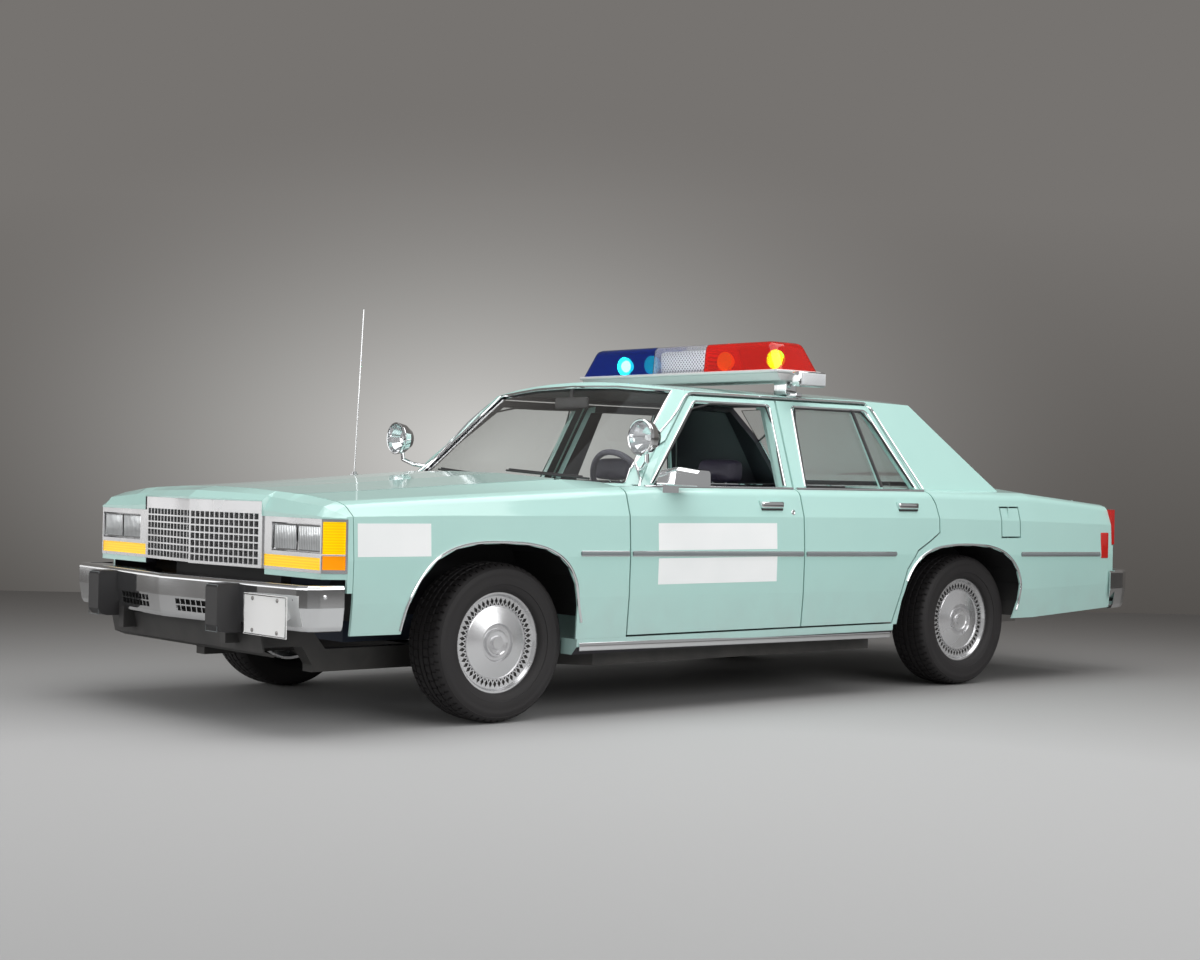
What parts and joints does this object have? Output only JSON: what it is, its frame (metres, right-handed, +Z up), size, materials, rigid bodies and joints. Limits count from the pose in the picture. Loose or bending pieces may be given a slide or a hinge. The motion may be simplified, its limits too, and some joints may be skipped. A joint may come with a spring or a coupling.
{
  "type": "police patrol car",
  "caption": "Full-size four-door police sedan with opening doors, hood and trunk lid, steered front wheels, a roof light bar with blue and red domes, and spotlights.",
  "frame": {"origin": "on the ground, below the middle of the front axle", "axes": "+X forward along the car, +Y to its left, +Z up"},
  "size_m": [5.375, 2.071, 1.7842],
  "materials": {
    "body_paint": "gloss",
    "chrome": "polished",
    "bar_aluminium": "brushed",
    "lamp_glass": "clear",
    "amber_lens": "gloss",
    "red_lens": "gloss",
    "dome_blue": "gloss",
    "dome_clear": "gloss",
    "dome_red": "gloss",
    "window_glass": "clear",
    "black_rubber": "matte",
    "tyre_rubber": "matte",
    "plate_white": "gloss",
    "grey_trim": "matte",
    "frame_black": "satin",
    "bare_steel": "dull",
    "iron": "rough",
    "cabin_plastic": "matte",
    "seat_cloth": "woven"
  },
  "bodies": {
    "body": {"chassis_frame": "frame_black", "floor_pan": "frame_black", "cowl": "body_paint", "wheelhouses": "frame_black", "front_fender_left": "body_paint", "front_fender_right": "body_paint", "header_panel": "body_paint", "grille": "chrome", "lamp_bezels": "chrome", "head_lamps": "lamp_glass", "signal_lamps": "amber_lens", "front_bumper": "chrome", "bumper_guards": "black_rubber", "number_plate": "plate_white", "front_valance": "grey_trim", "roof": "body_paint", "body_side_left": "body_paint", "body_side_right": "body_paint", "rear_deck": "body_paint", "tail_panel": "body_paint", "tail_lamps": "red_lens", "rear_bumper": "chrome", "windshield": "window_glass", "rear_window": "window_glass", "dashboard": "cabin_plastic", "seats": "seat_cloth", "engine_block": "iron", "radiator": "frame_black", "front_suspension": "frame_black", "rear_axle": "frame_black", "exhaust": "bare_steel", "fuel_tank": "bare_steel", "light_bar_base": "bar_aluminium", "light_dome_right": "dome_blue", "light_dome_centre": "dome_clear", "light_dome_left": "dome_red", "spotlights": "chrome", "antenna": "chrome"},
    "hood": {"hood": "body_paint"},
    "trunk_lid": {"trunk_lid": "body_paint"},
    "front_door_left": {"front_door_left": "body_paint", "door_mirror": "chrome"},
    "front_door_right": {"front_door_right": "body_paint", "front_door_right_glass": "window_glass"},
    "rear_door_left": {"rear_door_left": "body_paint", "rear_door_left_glass": "window_glass"},
    "rear_door_right": {"rear_door_right": "body_paint", "rear_door_right_glass": "window_glass"},
    "fuel_door": {"fuel_door": "body_paint"},
    "steering_wheel": {"steering_wheel": "cabin_plastic"},
    "knuckle_left": {"knuckle_left": "frame_black"},
    "knuckle_right": {"knuckle_right": "frame_black"},
    "front_wheel_left": {"tyre_front_left": "tyre_rubber", "wheel_front_left": "chrome"},
    "front_wheel_right": {"tyre_front_right": "tyre_rubber", "wheel_front_right": "chrome"},
    "rear_wheel_left": {"tyre_rear_left": "tyre_rubber", "wheel_rear_left": "chrome"},
    "rear_wheel_right": {"tyre_rear_right": "tyre_rubber", "wheel_rear_right": "chrome"}
  },
  "joints": [
    {"name": "front_door_left_hinge", "type": "hinge", "parent": "body", "child": "front_door_left", "pos_m": [-0.682, 0.963, 0.6], "axis": [0, 0, -1], "range_deg": [0, 65]},
    {"name": "front_door_right_hinge", "type": "hinge", "parent": "body", "child": "front_door_right", "pos_m": [-0.682, -0.963, 0.6], "axis": [0, 0, 1], "range_deg": [0, 65]},
    {"name": "rear_door_left_hinge", "type": "hinge", "parent": "body", "child": "rear_door_left", "pos_m": [-1.733, 0.963, 0.6], "axis": [0, 0, -1], "range_deg": [0, 65]},
    {"name": "rear_door_right_hinge", "type": "hinge", "parent": "body", "child": "rear_door_right", "pos_m": [-1.733, -0.963, 0.6], "axis": [0, 0, 1], "range_deg": [0, 65]},
    {"name": "hood_hinge", "type": "hinge", "parent": "body", "child": "hood", "pos_m": [-0.362, 0, 0.938], "axis": [0, -1, 0], "range_deg": [0, 50]},
    {"name": "trunk_hinge", "type": "hinge", "parent": "body", "child": "trunk_lid", "pos_m": [-3.275, 0, 0.966], "axis": [0, 1, 0], "range_deg": [0, 70]},
    {"name": "fuel_door_hinge", "type": "hinge", "parent": "body", "child": "fuel_door", "pos_m": [-3.145, 0.966, 0.813], "axis": [0, 0, -1], "range_deg": [0, 90]},
    {"name": "steer_left", "type": "hinge", "parent": "body", "child": "knuckle_left", "pos_m": [0, 0.69, 0.324], "axis": [0, 0, 1], "range_deg": [-30, 30]},
    {"name": "steer_right", "type": "hinge", "parent": "body", "child": "knuckle_right", "pos_m": [0, -0.69, 0.324], "axis": [0, 0, 1], "range_deg": [-30, 30]},
    {"name": "steering_wheel_turn", "type": "hinge", "parent": "body", "child": "steering_wheel", "pos_m": [-1.04, 0.4, 0.93], "axis": [-0.9, 0, 0.436], "range_deg": [-450, 450]},
    {"name": "roll_front_left", "type": "hinge", "parent": "knuckle_left", "child": "front_wheel_left", "pos_m": [0, 0.79, 0.324], "axis": [0, 1, 0], "continuous": true},
    {"name": "roll_front_right", "type": "hinge", "parent": "knuckle_right", "child": "front_wheel_right", "pos_m": [0, -0.79, 0.324], "axis": [0, 1, 0], "continuous": true},
    {"name": "roll_rear_left", "type": "hinge", "parent": "body", "child": "rear_wheel_left", "pos_m": [-2.903, 0.79, 0.324], "axis": [0, 1, 0], "continuous": true},
    {"name": "roll_rear_right", "type": "hinge", "parent": "body", "child": "rear_wheel_right", "pos_m": [-2.903, -0.79, 0.324], "axis": [0, 1, 0], "continuous": true}
  ],
  "couplings": [
    {"joint": "steer_right", "follows": "steer_left", "ratio": 1},
    {"joint": "steering_wheel_turn", "follows": "steer_left", "ratio": 15}
  ]
}
